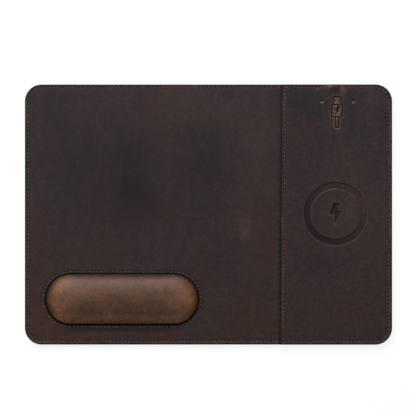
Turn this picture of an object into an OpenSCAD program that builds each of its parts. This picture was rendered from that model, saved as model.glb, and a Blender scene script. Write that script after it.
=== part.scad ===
// Leather desk mat with a built-in wireless charging pad on its right side and a padded wrist rest
// at its front left. Origin at the centre of the underside: +X right, +Y rear (charging port edge),
// +Z up. Millimetres.

/* [Mat] */
// Overall width, left to right
mat_w = 350; // [344:1:370]
// Overall depth, front to rear
mat_d = 248; // [246:1:260]
// Radius of the four outer corners
corner_r = 16; // [10:1:22]

/* [Layers] */
// Thickness of the non-slip base sheet
base_t = 0.8; // [0.6:0.1:1.2]
// Thickness of the stiffening core board
core_t = 3.2; // [3.2:0.1:4]
// Thickness of the top leather, and of the packing board under the charging panel
leather_t = 1.6; // [1.6:0.1:2]

/* [Seam between the panels] */
// Distance of the seam right of the mat's centre, at mid depth
seam_x = 69.3; // [66:0.1:72]
// How far the seam leans to the right between the front edge and the rear edge
seam_lean = 1.7; // [0:0.1:3]
// How far the charging panel laps over the mouse panel
seam_lap = 8; // [6:0.5:10]

/* [Charging spot] */
// Distance of the coil's centre right of the mat's centre
coil_x = 121.2; // [119:0.1:124]
// Distance of the coil's centre behind the mat's centre
coil_y = 0.5; // [-20:0.5:20]
// Outer diameter of the embossed ring
ring_d = 60; // [56:1:64]
// Width of the ring's groove
ring_w = 6; // [4:0.5:7]
// Depth of the embossed ring and bolt
emboss_t = 0.7; // [0.4:0.1:0.9]
// Turns of wire in the charging coil
coil_turns = 10; // [6:1:11]

/* [Port and electronics] */
// Distance of the charging port right of the mat's centre
port_x = 122; // [121:0.5:124]
// Distance of the circuit board's middle right of the mat's centre
board_x = 123.1; // [122:0.1:124]
// Distance between the two indicator lights
led_span = 30; // [28:1:31]
// Distance of the indicator lights behind the mat's centre
led_y = 108.3; // [106:0.1:109]
// Diameter of the indicator holes in the leather
led_hole_d = 2.1; // [2:0.1:3]

/* [Wrist rest] */
// Distance of the wrist rest's centre left of the mat's centre
rest_left = 82.4; // [78:0.1:86]
// Distance of the wrist rest's centre in front of the mat's centre
rest_front = 80.9; // [74:0.1:84]
// Length of the wrist rest, between the middles of the gap round it
rest_w = 145.8; // [120:0.1:150]
// Depth of the wrist rest, between the middles of the gap round it
rest_d = 47.7; // [44:0.1:52]
// Height of the cushion's crown above the mat's underside
rest_h = 15; // [12:0.5:20]
// Width of the gap round the cushion
rest_gap = 1.2; // [1:0.1:2.5]

/* [Stitching] */
// Distance from one stitch to the next
stitch_pitch = 3.7; // [3.2:0.1:5]
// Distance of the stitch row in from the mat's outer edge
stitch_inset = 3.2; // [2.5:0.1:4]
// Width of the sewing thread
thread_w = 0.8; // [0.5:0.1:1]
// Height of a stitch above the leather
thread_h = 0.35; // [0.2:0.05:0.5]

/* [Hidden] */

$fn = 96;
// A little extra length for cutting tools
eps = 1;

// Heights of the layers
core_z = base_t;
core_top = base_t + core_t;
panel_z = core_top + leather_t;
panel_top = panel_z + leather_t;

// Wrist rest
rest_x = -rest_left;
rest_y = -rest_front;
rest_half = (rest_w - rest_d) / 2;
opening_r = (rest_d + rest_gap) / 2;
cushion_r = (rest_d - rest_gap) / 2;
cover_t = 1.2;
flange_w = 8;
flange_r = opening_r + flange_w;
pocket_play = 0.15;
flange_top = core_top;
flange_z = flange_top - cover_t;
rest_stitch_gap = 1.7;
rest_stitch_r = opening_r + rest_stitch_gap;
crown_points = 20;
crown_power = 0.85;

// Coil stack
carrier_r = 31;
carrier_wall = 1.5;
carrier_t = 1;
coil_play = 0.2;
lead_slot_w = 9;
ferrite_r = 27;
ferrite_t = 1;
ferrite_z = core_z + carrier_t;
coil_z = ferrite_z + ferrite_t;
coil_t = 1.2;
coil_inner_r = 10.5;
coil_wire_w = 1;
coil_pitch = 1.2;
coil_steps = 24;
winding_r = coil_inner_r + coil_turns * coil_pitch;
bead_x = 3;
cover_disc_t = 0.5;
cover_disc_z = panel_z - cover_disc_t;
carrier_top = cover_disc_z;

// Electronics case
wall = 1.2;
tray_floor = 0.8;
lid_t = 0.7;
lid_z = panel_z - lid_t;
case_w = 39;
case_front = 88.6;
case_rear = 119;
neck_w = 15;
mouth_w = 9.4;
case_play = 0.15;
board_t = 1;
board_z = core_z + tray_floor + 0.4;
board_top = board_z + board_t;
board_w = 35.6;
board_front = 90.4;
board_rear = 117.4;
notch_w = 9.4;
notch_d = 5.4;
pin_in = 2.4;
pin_r = 0.6;
post_r = 1.1;
pin_play = 0.1;
led_t = 0.6;
pipe_r = 1;
pipe_play = 0.05;

// Port
usb_w = 8.94;
usb_h = 3.2;
usb_len = 7.4;
usb_front = mat_d / 2 - 0.4;
usb_wall = 0.3;
usb_back = 1;
usb_z = core_z + tray_floor + 0.05 + usb_h / 2;
tongue_w = 6.7;
tongue_t = 0.7;
tongue_len = 5.2;
contact_w = 0.24;
contact_t = 0.08;
contact_len = 3.6;
contact_pitch = 0.5;
contacts_a_side = 12;

// Wires, which lie in a slot of the riser board
lead_r = 0.4;
lead_z = core_top + lead_r + 0.05;
sensor_r = 0.3;
tube_sides = 8;

// The plug picture: three outlines stacked from front to rear
icon_x = board_x - 0.5;
icon_line = 0.95;
icon_t = 0.5;
icon_front = 82.4;
stem_w = 4;
stem_len = 11.2;
grip_w = 11.3;
grip_len = 12.6;
head_w = 8.6;
head_len = 8.6;
icon_bolt = 0.46;
icon_bolt_turn = -24;
contact_mark = 1.5;
contact_mark_x = 1.9;

// Lightning bolt, relative to its own centre, for a ring 60 across
bolt = [[-2.2, 10.8], [4.4, 10.8], [1.9, 3.2], [6.8, 3.2], [-1.9, -10.5], [-0.5, -0.9], [-6.3, -0.9]];

dark_leather = [0.22, 0.17, 0.16];
warm_leather = [0.45, 0.32, 0.24];
thread_colour = [0.33, 0.2, 0.15];
black_plastic = [0.05, 0.05, 0.06];
board_green = [0.05, 0.3, 0.16];
copper = [0.72, 0.42, 0.25];
steel = [0.7, 0.7, 0.72];

// ---------------------------------------------------------------- shared shapes

// A flat slab with rounded corners
module slab(w, d, r, h) {
    translate([-w / 2 + r, -d / 2, 0]) cube([w - 2 * r, d, h]);
    translate([-w / 2, -d / 2 + r, 0]) cube([w, d - 2 * r, h]);
    for (x = [-1, 1], y = [-1, 1])
        translate([x * (w / 2 - r), y * (d / 2 - r), 0]) cylinder(r = r, h = h);
}

// The mat's whole outline, from height z upwards
module mat_layer(z, h) {
    translate([0, 0, z]) slab(mat_w, mat_d, corner_r, h);
}

// A slab with two round ends, lying along X
module stadium(half, r, h) {
    translate([-half, -r, 0]) cube([2 * half, 2 * r, h]);
    for (x = [-half, half]) translate([x, 0, 0]) cylinder(r = r, h = h);
}

// X of the seam line at a distance y behind the mat's centre
function seam_at(y) = seam_x + seam_lean * y / mat_d;

// Everything on one side of a line parallel to the seam: side is 1 for right, -1 for left
module beside_seam(shift, side, z, h) {
    reach = mat_d / 2 + eps;
    far = side * mat_w;
    translate([0, 0, z]) linear_extrude(h)
        polygon([[far, -reach], [far, reach], [seam_at(reach) + shift, reach],
            [seam_at(-reach) + shift, -reach]]);
}

// ---------------------------------------------------------------- sheets and boards

module base_sheet() {
    color([0.13, 0.12, 0.12]) mat_layer(0, base_t);
}

// Space taken out of the boards by the electronics case, the wires and the coil carrier
module electronics_space(z, h) {
    body_w = case_w + 2 * case_play;
    translate([board_x - body_w / 2, case_front - case_play, z])
        cube([body_w, case_rear - case_front + 2 * case_play, h]);
    translate([port_x - neck_w / 2 - case_play, case_rear, z])
        cube([neck_w + 2 * case_play, mat_d / 2 - case_rear + eps, h]);
}

module coil_space(z, h) {
    translate([coil_x, coil_y, z]) cylinder(r = carrier_r + coil_play, h = h);
}

module core_board() {
    color([0.35, 0.3, 0.25]) difference() {
        mat_layer(core_z, core_t);
        electronics_space(core_z - eps, core_t + 2 * eps);
        coil_space(core_z - eps, core_t + 2 * eps);
        translate([rest_x, rest_y, core_z - eps])
            stadium(rest_half, flange_r + pocket_play, core_t + 2 * eps);
    }
}

module riser_board() {
    color([0.4, 0.34, 0.28]) difference() {
        intersection() {
            mat_layer(core_top, leather_t);
            beside_seam(seam_lap, 1, core_top - eps, leather_t + 2 * eps);
        }
        electronics_space(core_top - eps, leather_t + 2 * eps);
        coil_space(core_top - eps, leather_t + 2 * eps);
        translate([coil_x - lead_slot_w / 2, coil_y, core_top - eps])
            cube([lead_slot_w, case_front - coil_y + eps, leather_t + 2 * eps]);
    }
}

module mouse_panel() {
    color(dark_leather) difference() {
        intersection() {
            mat_layer(core_top, leather_t);
            beside_seam(seam_lap, -1, core_top - eps, leather_t + 2 * eps);
        }
        translate([rest_x, rest_y, core_top - eps])
            stadium(rest_half, opening_r, leather_t + 2 * eps);
    }
}

// A rectangular outline cut as a groove, its front edge at y
module frame_groove(x, y, w, len) {
    translate([x - w / 2, y, 0]) difference() {
        cube([w, len, icon_t + eps]);
        translate([icon_line, icon_line, -eps])
            cube([w - 2 * icon_line, len - 2 * icon_line, icon_t + 3 * eps]);
    }
}

module bolt_groove(size, depth) {
    linear_extrude(depth) polygon(bolt * size);
}

module plug_picture() {
    grip_y = icon_front + stem_len - icon_line;
    head_y = grip_y + grip_len - icon_line;
    translate([0, 0, panel_top - icon_t]) {
        frame_groove(icon_x, icon_front, stem_w, stem_len);
        frame_groove(icon_x, grip_y, grip_w, grip_len);
        frame_groove(icon_x, head_y, head_w, head_len);
        translate([icon_x, grip_y + grip_len / 2, 0])
            rotate(icon_bolt_turn) bolt_groove(icon_bolt, icon_t + eps);
        for (x = [-contact_mark_x, contact_mark_x])
            translate([icon_x + x, head_y + head_len / 2, (icon_t + eps) / 2])
                cube([contact_mark, contact_mark, icon_t + eps], center = true);
    }
}

module charge_panel() {
    color(dark_leather) difference() {
        intersection() {
            mat_layer(panel_z, leather_t);
            beside_seam(0, 1, panel_z - eps, leather_t + 2 * eps);
        }
        translate([coil_x, coil_y, panel_top - emboss_t]) {
            difference() {
                cylinder(d = ring_d, h = emboss_t + eps);
                translate([0, 0, -eps]) cylinder(d = ring_d - 2 * ring_w, h = emboss_t + 3 * eps);
            }
            bolt_groove(ring_d / 60, emboss_t + eps);
        }
        plug_picture();
        for (x = [-led_span / 2, led_span / 2])
            translate([board_x + x, led_y, panel_z - eps])
                cylinder(d = led_hole_d, h = leather_t + 2 * eps);
    }
}

// ---------------------------------------------------------------- wrist rest

module wrist_plate() {
    color([0.45, 0.36, 0.25]) translate([rest_x, rest_y, core_z])
        stadium(rest_half, flange_r, flange_z - core_z);
}

// Half of the crowned cross-section: a superellipse on a straight skirt
function crown(r, rise, skirt) = concat(
    [[0, 0], [r, 0]],
    [for (i = [0 : crown_points]) let (a = 90 * i / crown_points)
        [r * pow(cos(a), crown_power), skirt + (rise - skirt) * pow(sin(a), crown_power)]]);

// The cross-section carried along the rest and turned round each end
module crowned_bar(r, rise, skirt) {
    half_section = crown(r, rise, skirt);
    translate([-rest_half, 0, 0]) rotate([90, 0, 90]) linear_extrude(2 * rest_half)
        union() {
            polygon(half_section);
            mirror([1, 0]) polygon(half_section);
        }
    for (side = [-1, 1])
        translate([side * rest_half, 0, 0]) rotate(-side * 90)
            rotate_extrude(angle = 180) polygon(half_section);
}

module wrist_foam() {
    color([0.75, 0.72, 0.65]) translate([rest_x, rest_y, flange_z])
        crowned_bar(cushion_r - cover_t, rest_h - cover_t - flange_z, panel_z - flange_z);
}

module wrist_cover() {
    color(warm_leather) translate([rest_x, rest_y, flange_z]) difference() {
        union() {
            stadium(rest_half, flange_r, cover_t);
            crowned_bar(cushion_r, rest_h - flange_z, panel_z - flange_z);
        }
        crowned_bar(cushion_r - cover_t, rest_h - cover_t - flange_z, panel_z - flange_z);
    }
}

// ---------------------------------------------------------------- stitching

function arc(x, y, r, from, to) =
    [for (i = [0 : 8]) let (a = from + (to - from) * i / 8) [x + r * cos(a), y + r * sin(a)]];

function route_length(route, last) =
    last < 1 ? 0 : norm(route[last] - route[last - 1]) + route_length(route, last - 1);

// Point and heading at a distance s along a route
function along(route, s, i = 1) =
    let (step = route[i] - route[i - 1], size = norm(step))
    s <= size || i == len(route) - 1
        ? [route[i - 1] + step * s / size, atan2(step.y, step.x)]
        : along(route, s - size, i + 1);

// A row of stitches lying on the leather; the stretch over the port is left unsewn
module sewn(route, z) {
    total = route_length(route, len(route) - 1);
    count = round(total / stitch_pitch);
    long = stitch_pitch * stitch_share;
    for (k = [0 : count - 1]) {
        spot = along(route, (k + 0.5) * total / count);
        over_port = spot[0].y > case_rear && abs(spot[0].x - port_x) < neck_w / 2 + long / 2;
        if (!over_port)
            translate([spot[0].x, spot[0].y, z + thread_h / 2]) rotate(spot[1])
                cube([long, thread_w, thread_h], center = true);
    }
}

// Distance of the front and rear rows from the middle, the corner arcs the rows turn on, and
// the middle seam's row from the seam
row_y = mat_d / 2 - stitch_inset;
turn_x = mat_w / 2 - corner_r;
turn_y = mat_d / 2 - corner_r;
turn_r = corner_r - stitch_inset;
seam_row = 3.1;
stitch_share = 0.76;

module mouse_panel_stitching() {
    route = concat([[seam_at(row_y) - 1, row_y]], arc(-turn_x, turn_y, turn_r, 90, 180),
        arc(-turn_x, -turn_y, turn_r, 180, 270), [[seam_at(-row_y) - 1, -row_y]]);
    color(thread_colour) sewn(route, panel_z);
}

module charge_panel_stitching() {
    front = [seam_at(-row_y) + seam_row, -row_y];
    rear = [seam_at(row_y) + seam_row, row_y];
    route = concat([front, rear], arc(turn_x, turn_y, turn_r, 90, 0),
        arc(turn_x, -turn_y, turn_r, 0, -90), [front]);
    color(thread_colour) sewn(route, panel_top);
}

module wrist_rest_stitching() {
    route = concat(arc(rest_half, 0, rest_stitch_r, -90, 0), arc(rest_half, 0, rest_stitch_r, 0, 90),
        arc(-rest_half, 0, rest_stitch_r, 90, 180), arc(-rest_half, 0, rest_stitch_r, 180, 270),
        [[rest_half, -rest_stitch_r]]);
    color(thread_colour) translate([rest_x, rest_y, 0]) sewn(route, panel_z);
}

// ---------------------------------------------------------------- electronics

// The case's outline: a body and a neck that reaches the mat's rear edge
module case_outline(z, h) {
    translate([board_x - case_w / 2, case_front, z]) cube([case_w, case_rear - case_front, h]);
    translate([port_x - neck_w / 2, case_rear - wall, z])
        cube([neck_w, mat_d / 2 - case_rear + wall, h]);
}

// Places of the four locating pins
module at_pins() {
    for (x = [-1, 1], y = [board_front + pin_in, board_rear - pin_in])
        translate([board_x + x * (board_w / 2 - pin_in), y, 0]) children();
}

module electronics_tray() {
    inside_z = core_z + tray_floor;
    inside_h = lid_z - inside_z;
    color(black_plastic) {
        difference() {
            case_outline(core_z, lid_z - core_z);
            translate([board_x - case_w / 2 + wall, case_front + wall, inside_z])
                cube([case_w - 2 * wall, case_rear - case_front - 2 * wall, inside_h + eps]);
            translate([port_x - mouth_w / 2, case_rear - 2 * wall, inside_z])
                cube([mouth_w, mat_d / 2 - case_rear + 2 * wall + eps, inside_h + eps]);
            translate([coil_x - lead_slot_w / 2, case_front - eps, core_top])
                cube([lead_slot_w, wall + 2 * eps, inside_h]);
        }
        at_pins() {
            translate([0, 0, inside_z]) cylinder(r = post_r, h = board_z - inside_z);
            translate([0, 0, inside_z]) cylinder(r = pin_r, h = board_top + 0.4 - inside_z);
        }
    }
}

module electronics_lid() {
    color(black_plastic) difference() {
        case_outline(lid_z, lid_t);
        for (x = [-led_span / 2, led_span / 2])
            translate([board_x + x, led_y, lid_z - eps])
                cylinder(r = pipe_r + pipe_play, h = lid_t + 2 * eps);
    }
}

module circuit_board() {
    color(board_green) difference() {
        translate([board_x - board_w / 2, board_front, board_z])
            cube([board_w, board_rear - board_front, board_t]);
        translate([port_x - notch_w / 2, board_rear - notch_d, board_z - eps])
            cube([notch_w, notch_d + eps, board_t + 2 * eps]);
        at_pins() translate([0, 0, board_z - eps])
            cylinder(r = pin_r + pin_play, h = board_t + 2 * eps);
    }
}

// A tube of racetrack section running back from the port's mouth
module racetrack(w, h, from, len) {
    r = h / 2;
    translate([port_x, from, usb_z]) rotate([90, 0, 0]) stadium(w / 2 - r, r, len);
}

module usb_shell() {
    inner_w = usb_w - 2 * usb_wall;
    inner_h = usb_h - 2 * usb_wall;
    color(steel) difference() {
        racetrack(usb_w, usb_h, usb_front, usb_len);
        racetrack(inner_w, inner_h, usb_front + eps, usb_len - usb_back + eps);
    }
}

module usb_tongue() {
    back = usb_front - usb_len + usb_back;
    color(black_plastic) translate([port_x - tongue_w / 2, back, usb_z - tongue_t / 2])
        cube([tongue_w, tongue_len, tongue_t]);
}

module usb_contacts() {
    back = usb_front - usb_len + usb_back;
    first = -(contacts_a_side - 1) / 2 * contact_pitch;
    color([0.85, 0.68, 0.35])
        for (k = [0 : contacts_a_side - 1], side = [-1, 1])
            translate([port_x + first + k * contact_pitch - contact_w / 2, back + 0.8,
                usb_z + side * (tongue_t + contact_t) / 2 - contact_t / 2])
                cube([contact_w, contact_len, contact_t]);
}

// A block standing on the circuit board, its middle at (x, y) from the board's middle front
module on_board(x, y, w, d, h) {
    translate([board_x + x - w / 2, board_front + y - d / 2, board_top]) cube([w, d, h]);
}

module controller_chip() {
    color([0.08, 0.08, 0.09]) on_board(-4, 14, 5, 5, 0.85);
}

module driver_chips() {
    color([0.08, 0.08, 0.09])
        for (x = [4.5, 10]) on_board(x, 12, 3.9, 4.9, 1.45);
}

module resonant_capacitors() {
    color([0.62, 0.5, 0.38])
        for (k = [0 : 3]) on_board(-9 + 4.2 * k, 5, 3.2, 2.5, 1.6);
}

module input_capacitors() {
    color([0.55, 0.42, 0.32])
        for (x = [-10.5, 9.5]) on_board(x, 21.5, 3.2, 2.5, 1.7);
}

module passives() {
    color([0.25, 0.23, 0.22]) {
        for (k = [0 : 5]) on_board(-11 + 1.8 * k, 18.6, 1, 0.5, 0.5);
        for (k = [0 : 4]) on_board(4 + 1.8 * k, 17.2, 1, 0.5, 0.5);
        for (k = [0 : 4]) on_board(-11, 8.5 + 1.5 * k, 1, 0.5, 0.5);
    }
}

module status_leds() {
    color([0.9, 0.9, 0.85])
        for (x = [-led_span / 2, led_span / 2])
            on_board(x, led_y - board_front, 1.6, 0.8, led_t);
}

module light_pipes() {
    foot_z = board_top + led_t;
    color([0.14, 0.14, 0.15])
        for (x = [-led_span / 2, led_span / 2])
            translate([board_x + x, led_y, foot_z]) cylinder(r = pipe_r, h = panel_z - foot_z);
}

// ---------------------------------------------------------------- coil

module coil_carrier() {
    color(black_plastic) translate([coil_x, coil_y, core_z]) difference() {
        cylinder(r = carrier_r, h = carrier_top - core_z);
        translate([0, 0, carrier_t])
            cylinder(r = carrier_r - carrier_wall, h = carrier_top - core_z);
        translate([-lead_slot_w / 2, 0, core_top - core_z])
            cube([lead_slot_w, carrier_r + eps, carrier_top - core_z]);
    }
}

module ferrite_disc() {
    color([0.16, 0.16, 0.17]) translate([coil_x, coil_y, ferrite_z])
        cylinder(r = ferrite_r, h = ferrite_t);
}

// A flat spiral of wire, starting and ending on the side towards the port
module charging_coil() {
    steps = coil_turns * coil_steps;
    grow = coil_pitch / coil_steps;
    edge = function(shift, i) let (a = 90 + 360 * i / coil_steps, r = coil_inner_r + shift + grow * i)
        [r * cos(a), r * sin(a)];
    color(copper) translate([coil_x, coil_y, coil_z]) linear_extrude(coil_t)
        polygon(concat([for (i = [0 : steps]) edge(0, i)],
            [for (i = [steps : -1 : 0]) edge(coil_wire_w, i)]));
}

module coil_cover() {
    color([0.8, 0.78, 0.7]) translate([coil_x, coil_y, cover_disc_z])
        cylinder(r = carrier_r, h = cover_disc_t);
}

// ---------------------------------------------------------------- wires

// Rings of a tube swept along points that never run straight up
function tube_ring(p, dir, r) =
    let (side = cross(dir, [0, 0, 1]) / norm(cross(dir, [0, 0, 1])), up = cross(side, dir) / norm(dir))
    [for (k = [0 : tube_sides - 1]) let (a = 360 * k / tube_sides) p + r * (cos(a) * side + sin(a) * up)];

module tube(points, r) {
    last = len(points) - 1;
    rings = [for (i = [0 : last])
        each tube_ring(points[i], points[min(i + 1, last)] - points[max(i - 1, 0)], r)];
    walls = [for (i = [0 : last - 1], k = [0 : tube_sides - 1])
        let (a = i * tube_sides + k, b = i * tube_sides + (k + 1) % tube_sides)
        [a, b, b + tube_sides, a + tube_sides]];
    start = [for (k = [tube_sides - 1 : -1 : 0]) k];
    end = [for (k = [0 : tube_sides - 1]) last * tube_sides + k];
    polyhedron(points = rings, faces = concat([start], walls, [end]), convexity = 4);
}

// A wire's run behind the winding: along the slot, through the case wall and down to a pad.
// Each step is [distance right of the coil's centre, y, z].
function run_to_board(x, shift, r) =
    let (start_y = coil_y + winding_r, pad_y = board_front + 1.6)
    [for (p = [[x, start_y + 6, lead_z], [x, start_y + 14, lead_z], [x + shift, case_front - 12, lead_z],
        [x + shift, case_front + 1, lead_z], [x + shift, pad_y, board_top + r + 0.3],
        [x + shift, pad_y + 1.1, board_top + r]]) p + [coil_x, 0, 0]];

// Two wires to the coil: one crosses over the winding from its inner turn, one leaves the outer turn
module coil_leads() {
    over_coil = coil_z + coil_t + lead_r + 0.05;
    inner = [for (p = [[-1, -5, 0.42], [-1, -3.5, 0.5], [-1, -1.6, 1.3]])
        [coil_x + p.x, coil_y + coil_inner_r + p.y, coil_z + p.z]];
    crossing = [for (y = [0, coil_turns * coil_pitch / 2, coil_turns * coil_pitch + 2])
        [coil_x - 1, coil_y + coil_inner_r + y, over_coil]];
    outer = [for (p = [[1, 1.6, 0.42], [1, 3, 0.75], [1, 4.5, 1.3]])
        [coil_x + p.x, coil_y + winding_r + p.y, coil_z + p.z]];
    color([0.75, 0.15, 0.12]) {
        tube(concat(inner, crossing, run_to_board(-1, -1.5, lead_r)), lead_r);
        tube(concat(outer, run_to_board(1, -1, lead_r)), lead_r);
    }
}

// A bead at the middle of the coil that reads its temperature
module thermistor() {
    color([0.1, 0.1, 0.1]) translate([coil_x + bead_x, coil_y - 1, coil_z])
        slab(2.4, 3, 0.8, 1.2);
}

module sensor_leads() {
    over_coil = coil_z + coil_t + sensor_r + 0.05;
    color([0.85, 0.85, 0.8])
        for (x = [-0.5, 0.5]) {
            start = [for (p = [[0.55, 0.6], [3, 0.6]]) [coil_x + bead_x + x, coil_y + p.x, coil_z + p.y]];
            crossing = [for (y = [8, 12, winding_r + 2]) [coil_x + bead_x + x, coil_y + y, over_coil]];
            tube(concat(start, crossing, run_to_board(bead_x + x, -0.4, sensor_r)), sensor_r);
        }
}

base_sheet();
core_board();
riser_board();
mouse_panel();
charge_panel();
wrist_plate();
wrist_foam();
wrist_cover();
mouse_panel_stitching();
charge_panel_stitching();
wrist_rest_stitching();
electronics_tray();
electronics_lid();
circuit_board();
usb_shell();
usb_tongue();
usb_contacts();
controller_chip();
driver_chips();
resonant_capacitors();
input_capacitors();
passives();
status_leds();
light_pipes();
coil_carrier();
ferrite_disc();
charging_coil();
coil_cover();
coil_leads();
thermistor();
sensor_leads();
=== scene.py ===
"""Looks of the leather desk mat with a charging panel and a wrist rest, built round its CAD frame.

Shapes are worked out in millimetres, in the frame's own axes, and scaled to metres when a mesh is made.
"""

import math

import bpy
import numpy as np
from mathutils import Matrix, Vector, noise
from mathutils.geometry import delaunay_2d_cdt
from mathutils.kdtree import KDTree


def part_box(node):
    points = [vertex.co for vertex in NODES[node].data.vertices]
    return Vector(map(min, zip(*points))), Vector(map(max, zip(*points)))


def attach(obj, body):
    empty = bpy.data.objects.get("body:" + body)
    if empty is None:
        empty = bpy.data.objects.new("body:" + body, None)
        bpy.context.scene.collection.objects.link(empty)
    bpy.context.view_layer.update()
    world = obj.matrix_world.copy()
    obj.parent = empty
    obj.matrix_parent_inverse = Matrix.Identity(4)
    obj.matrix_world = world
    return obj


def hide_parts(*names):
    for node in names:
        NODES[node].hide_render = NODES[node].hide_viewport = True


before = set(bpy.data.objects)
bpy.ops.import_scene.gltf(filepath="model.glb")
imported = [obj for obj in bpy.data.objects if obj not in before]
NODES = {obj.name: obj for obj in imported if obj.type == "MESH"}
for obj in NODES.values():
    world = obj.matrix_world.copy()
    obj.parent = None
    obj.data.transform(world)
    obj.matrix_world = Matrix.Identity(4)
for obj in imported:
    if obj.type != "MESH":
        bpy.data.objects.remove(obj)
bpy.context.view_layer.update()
MM = 0.001

# ---- driving dimensions (mm)


def box_mm(node):
    """Lowest and highest corner of a CAD node."""
    low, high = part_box(node)
    return np.array(low) / MM, np.array(high) / MM


def middle_mm(node):
    low, high = box_mm(node)
    return (low + high) / 2


BASE_LOW, BASE_HIGH = box_mm("base_sheet")
HALF_W, HALF_D = BASE_HIGH[0], BASE_HIGH[1]
CORNER_R = 16.0

MOUSE_BOTTOM, MOUSE_TOP = (box[2] for box in box_mm("mouse_panel"))
CHARGE_BOTTOM, CHARGE_TOP = (box[2] for box in box_mm("charge_panel"))

# The seam leans a little: its X at the front edge and at the rear edge
SEAM_LEAN = 1.7
SEAM_FRONT = box_mm("charge_panel")[0][0]
SEAM_REAR = SEAM_FRONT + SEAM_LEAN
SEAM_LAP = 8.0
SEAM_ROW = 3.1

COIL = middle_mm("coil_cover")[:2]
RING_OUTER_R = 30.3
RING_INNER_R = 24.0
EMBOSS_DEPTH = 0.62

BOARD_X = middle_mm("circuit_board")[0]
LIGHTS_Y = middle_mm("light_pipes")[1]
PIPE_R = 1.0
LIGHTS_X = [box_mm("light_pipes")[0][0] + PIPE_R, box_mm("light_pipes")[1][0] - PIPE_R]
LIGHT_HOLE_R = 1.05
PORT_X = middle_mm("usb_shell")[0]
NECK_W = 15.0
NECK_LENGTH = 5.0
CASE_REAR = box_mm("electronics_lid")[1][1] - NECK_LENGTH

REST_LOW, REST_HIGH = box_mm("wrist_cover")
REST = middle_mm("wrist_cover")[:2]
FLANGE_W = 8.0
FLANGE_R = (REST_HIGH[1] - REST_LOW[1]) / 2
REST_HALF = (REST_HIGH[0] - REST_LOW[0]) / 2 - FLANGE_R
OPENING_R = FLANGE_R - FLANGE_W
REST_GAP = 1.2
REST_STITCH_GAP = 1.7
CUSHION_R = OPENING_R - REST_GAP
COVER_T = 1.2
REST_FOOT, REST_CROWN = REST_LOW[2], REST_HIGH[2]

STITCH_PITCH = 3.7
STITCH_INSET = 3.2
THREAD_R = 0.36

# How far from a row of stitches, and from the bolt's middle, their shape is worked out
ROW_REACH = 2.5
BOLT_REACH = 16.0
FAR = 9.0
BOLT = [(-2.2, 10.8), (4.4, 10.8), (1.9, 3.2), (6.8, 3.2), (-1.9, -10.5), (-0.5, -0.9), (-6.3, -0.9)]

# The plug picture, front to rear: stem, grip and head, as (front edge y, width, length)
ICON_X = BOARD_X - 0.5
ICON_LINE = 0.95
ICON_DEPTH = 0.45
STEM = (82.4, 4.0, 11.2)
GRIP = (STEM[0] + STEM[2] - ICON_LINE, 11.3, 12.6)
HEAD = (GRIP[0] + GRIP[2] - ICON_LINE, 8.6, 8.6)
ICON_BOLT = 0.46
ICON_BOLT_TURN = math.radians(-24)


# ---- distances and outlines


def ramp(low, high, x):
    """0 below low, 1 above high, smooth between."""
    t = np.clip((x - low) / (high - low), 0, 1)
    return t * t * (3 - 2 * t)


def hump(x, middle, width):
    """1 at the middle, falling smoothly to 0 on both sides."""
    return np.exp(-(((x - middle) / width) ** 2))


def where_near(p, near, distance):
    """A distance worked out only where the mask holds, and FAR elsewhere."""
    out = np.full(len(p), FAR)
    if near.any():
        out[near] = distance(p[near])
    return out


def d_round_rect(p, half_w, half_d, r):
    q = np.abs(p) - np.array([half_w - r, half_d - r])
    return np.minimum(q.max(1), 0) + np.hypot(*np.maximum(q, 0).T) - r


def d_mat(p):
    """Distance from the mat's outline, negative inside."""
    return d_round_rect(p, HALF_W, HALF_D, CORNER_R)


def d_rest(p):
    """Distance from the wrist rest's middle line, which is a straight segment."""
    across = np.maximum(np.abs(p[:, 0] - REST[0]) - REST_HALF, 0)
    return np.hypot(across, p[:, 1] - REST[1])


def seam_x(y):
    return SEAM_FRONT + SEAM_LEAN * (y + HALF_D) / (2 * HALF_D)


def d_seam(p):
    """Distance to the right of the seam line."""
    return p[:, 0] - seam_x(p[:, 1])


def d_polygon(p, corners):
    """Signed distance from a polygon, negative inside."""
    best = np.full(len(p), 1e9)
    inside = np.zeros(len(p), bool)
    for a, b in zip(corners, np.roll(corners, -1, axis=0)):
        edge = b - a
        t = np.clip(((p - a) @ edge) / (edge @ edge), 0, 1)
        best = np.minimum(best, np.hypot(*(p - a - t[:, None] * edge).T))
        crosses = (a[1] > p[:, 1]) != (b[1] > p[:, 1])
        rise = edge[1] if edge[1] else 1e-9
        inside ^= crosses & (p[:, 0] < edge[0] * (p[:, 1] - a[1]) / rise + a[0])
    return np.where(inside, -best, best)


def d_frame(p, front, width, length):
    """Distance from the middle of a rectangular outline's line."""
    centre = np.array([ICON_X, front + length / 2])
    inset = ICON_LINE / 2
    return np.abs(d_round_rect(p - centre, width / 2 - inset, length / 2 - inset, 0.7))


def arc(cx, cy, r, start, end, step=0.9):
    """Points along an arc, angles in degrees."""
    n = max(3, math.ceil(abs(end - start) * math.pi / 180 * r / step))
    angles = np.radians(np.linspace(start, end, n + 1))
    return np.stack([cx + r * np.cos(angles), cy + r * np.sin(angles)], 1)


def corner(side_x, side_y, r, start, turn=90):
    """An arc round the middle of one of the mat's corners."""
    return arc(side_x * (HALF_W - CORNER_R), side_y * (HALF_D - CORNER_R), r, start, start + turn)


def mat_outline(inset):
    """The whole mat's outline, anticlockwise."""
    r = CORNER_R - inset
    return np.concatenate([corner(1, 1, r, 0), corner(-1, 1, r, 90), corner(-1, -1, r, 180),
                           corner(1, -1, r, 270)])


def charge_outline(inset):
    """The charging panel's outline: the seam line and the mat's right end."""
    r, edge = CORNER_R - inset, HALF_D - inset
    seam = [[seam_x(edge) + inset, edge], [seam_x(-edge) + inset, -edge]]
    return np.concatenate([corner(1, -1, r, 270), corner(1, 1, r, 0), seam])


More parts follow.
